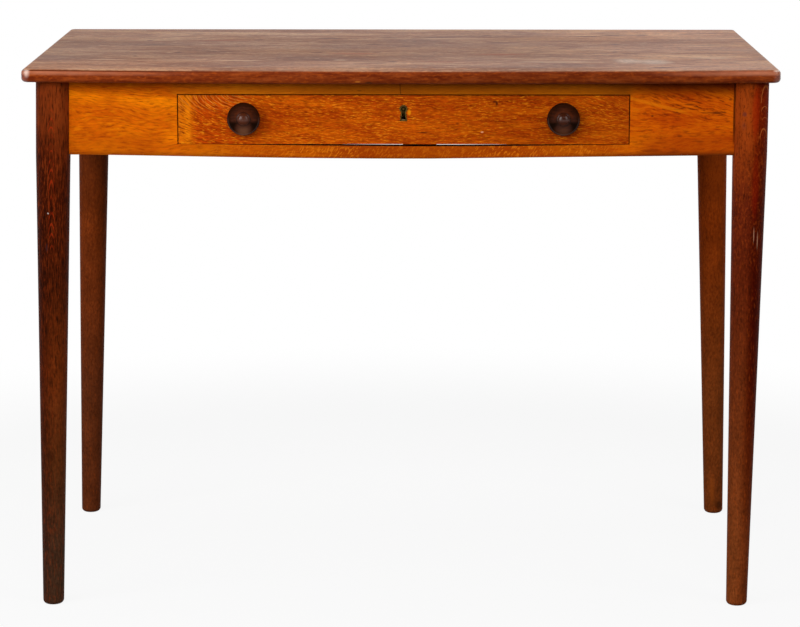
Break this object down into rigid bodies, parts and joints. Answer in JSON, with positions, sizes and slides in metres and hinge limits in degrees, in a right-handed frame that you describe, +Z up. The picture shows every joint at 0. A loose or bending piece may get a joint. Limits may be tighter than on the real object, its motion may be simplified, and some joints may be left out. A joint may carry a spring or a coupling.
{
  "type": "writing desk",
  "caption": "Free-standing wooden writing desk: thin overhanging top on round tapered legs, with a wide lockable drawer in a golden apron and dark turned knobs.",
  "frame": {"origin": "on the floor, below the middle of the top", "axes": "+Z up, +X along the desk's length to the right as seen from the front, the drawer front faces -Y"},
  "size_m": [1, 0.58, 0.737],
  "materials": {
    "faded_brown_top": "faded oiled wood with fine streaks, worn satin",
    "red_brown_leg": "dark red-brown stained wood, satin",
    "golden_oak": "golden oiled oak, satin",
    "orange_oak_drawer": "orange-brown quarter-sawn oak with pale ray flecks, satin",
    "bare_softwood": "bare planed softwood, matt",
    "dark_turned_knob": "very dark turned hardwood, semi-gloss",
    "aged_brass": "dark aged brass",
    "steel_screw": "dull slotted steel screws"
  },
  "bodies": {
    "desk_frame": {"top": "faded_brown_top", "front_left_leg": "red_brown_leg", "front_right_leg": "red_brown_leg", "back_left_leg": "red_brown_leg", "back_right_leg": "red_brown_leg", "front_apron": "golden_oak", "back_apron": "golden_oak", "left_apron": "golden_oak", "right_apron": "golden_oak", "left_cheek": "bare_softwood", "right_cheek": "bare_softwood", "left_runner": "bare_softwood", "right_runner": "bare_softwood", "left_kicker": "bare_softwood", "right_kicker": "bare_softwood", "centre_runner": "bare_softwood", "left_front_button": "bare_softwood", "left_back_button": "bare_softwood", "right_front_button": "bare_softwood", "right_back_button": "bare_softwood", "back_left_button": "bare_softwood", "back_right_button": "bare_softwood", "left_front_button_screw": "steel_screw", "left_back_button_screw": "steel_screw", "right_front_button_screw": "steel_screw", "right_back_button_screw": "steel_screw", "back_left_button_screw": "steel_screw", "back_right_button_screw": "steel_screw", "left_runner_screw_1": "steel_screw", "left_runner_screw_2": "steel_screw", "right_runner_screw_1": "steel_screw", "right_runner_screw_2": "steel_screw", "left_kicker_screw_1": "steel_screw", "left_kicker_screw_2": "steel_screw", "right_kicker_screw_1": "steel_screw", "right_kicker_screw_2": "steel_screw"},
    "drawer": {"drawer_front": "orange_oak_drawer", "drawer_left_side": "bare_softwood", "drawer_right_side": "bare_softwood", "drawer_back": "bare_softwood", "drawer_bottom": "bare_softwood", "drawer_bottom_screw_1": "steel_screw", "drawer_bottom_screw_2": "steel_screw", "drawer_bottom_screw_3": "steel_screw", "left_knob": "dark_turned_knob", "right_knob": "dark_turned_knob", "left_knob_screw": "steel_screw", "right_knob_screw": "steel_screw", "escutcheon": "aged_brass", "lock_case": "aged_brass", "lock_cap": "aged_brass", "lock_pin": "aged_brass", "lock_spring": "aged_brass", "lock_screw_1": "steel_screw", "lock_screw_2": "steel_screw", "lock_screw_3": "steel_screw", "lock_screw_4": "steel_screw"},
    "lock_bolt": {"lock_bolt": "aged_brass"}
  },
  "joints": [
    {"name": "drawer_slide", "type": "slide", "parent": "desk_frame", "child": "drawer", "axis": [0, -1, 0], "range_m": [0, 0.3]},
    {"name": "lock_bolt_slide", "type": "slide", "parent": "drawer", "child": "lock_bolt", "axis": [0, 0, 1], "range_m": [0, 0.007]}
  ]
}
